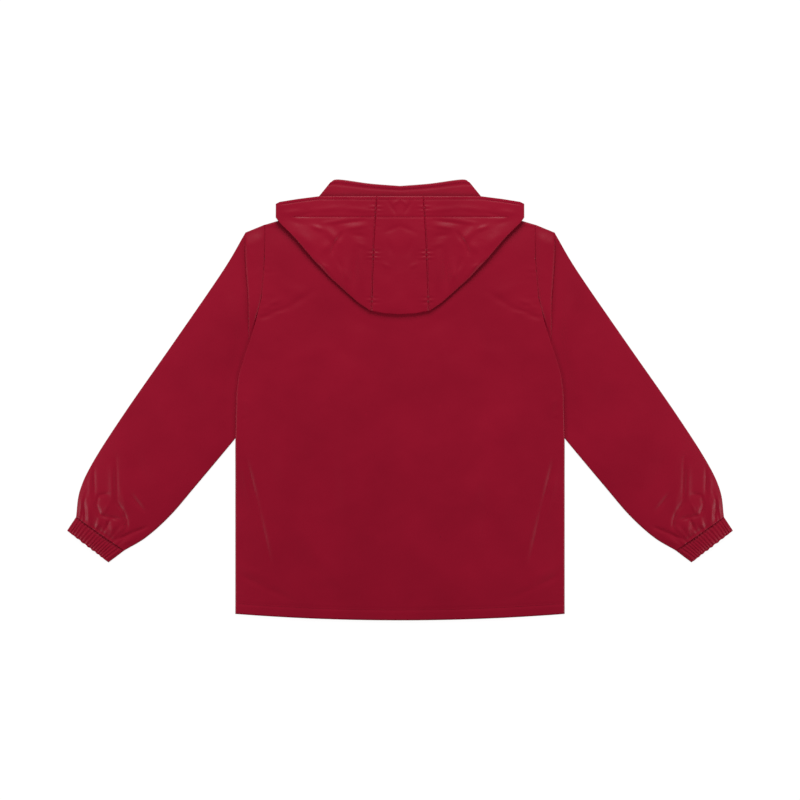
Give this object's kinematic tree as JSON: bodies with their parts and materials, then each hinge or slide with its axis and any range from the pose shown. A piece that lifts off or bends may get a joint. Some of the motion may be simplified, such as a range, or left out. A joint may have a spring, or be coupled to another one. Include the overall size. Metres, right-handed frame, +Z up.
{
  "type": "hooded windbreaker jacket",
  "caption": "Hooded windbreaker jacket laid flat face down, back up, with the hood folded down on the back, sleeves spread, gathered cuffs and a closed front zip beneath.",
  "frame": {"origin": "on the surface, under the middle of the jacket's outline", "axes": "+X across the chest towards the wearer's right sleeve, +Y from the hem to the collar, +Z up from the surface through the back"},
  "size_m": [1.136, 0.7517, 0.0135],
  "materials": {
    "shell_cloth": "coated nylon, satin",
    "hood_cloth": "coated nylon, satin",
    "cuff_cloth": "coated nylon, gathered",
    "zip_tape": "woven tape with moulded teeth",
    "zip_metal": "satin nickel plate"
  },
  "bodies": {
    "jacket": {"back": "shell_cloth", "front_right": "shell_cloth", "front_left": "shell_cloth", "sleeve_right": "shell_cloth", "sleeve_left": "shell_cloth", "cuff_right": "cuff_cloth", "cuff_left": "cuff_cloth", "collar": "shell_cloth", "hood_right": "hood_cloth", "hood_left": "hood_cloth", "hood_centre": "hood_cloth", "zip_chain": "zip_tape", "zip_slider": "zip_metal"},
    "pull_tab": {"zip_pull": "zip_metal"}
  },
  "joints": [
    {"name": "pull_swing", "type": "hinge", "parent": "jacket", "child": "pull_tab", "pos_m": [0, 0.2936, 0.00115], "axis": [1, 0, 0], "range_deg": [0, 170]}
  ]
}
